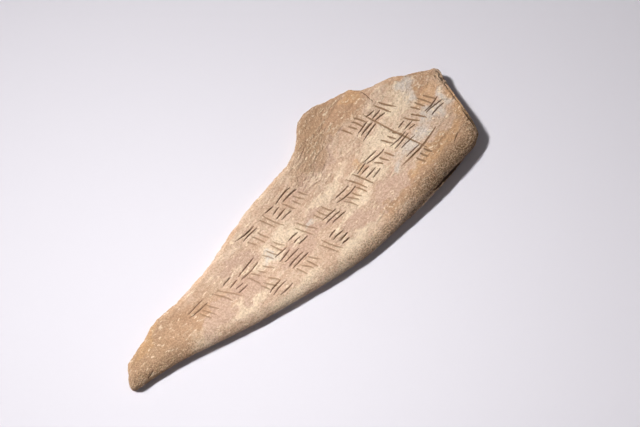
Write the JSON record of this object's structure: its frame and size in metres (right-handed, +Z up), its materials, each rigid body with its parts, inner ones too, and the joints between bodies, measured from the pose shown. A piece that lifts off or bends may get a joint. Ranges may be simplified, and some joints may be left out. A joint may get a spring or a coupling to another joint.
{
  "type": "oracle bone",
  "caption": "Inscribed ox shoulder blade fragment: a long pointed plate with a thick rolled border, a thin broken edge and a sawn end, lying with its carved face up.",
  "frame": {"origin": "on the table, under the middle of the box that the bone fills as it lies", "axes": "+X from the narrow tip to the sawn end, +Y from the thick natural border to the thin broken edge, +Z up from the inscribed face"},
  "size_m": [0.22, 0.0779, 0.0135],
  "materials": {
    "bone": "dry, matt, weathered buff bone with brown earth stain and pale grey patches"
  },
  "bodies": {
    "root": {"oracle_bone": "bone"}
  },
  "joints": []
}
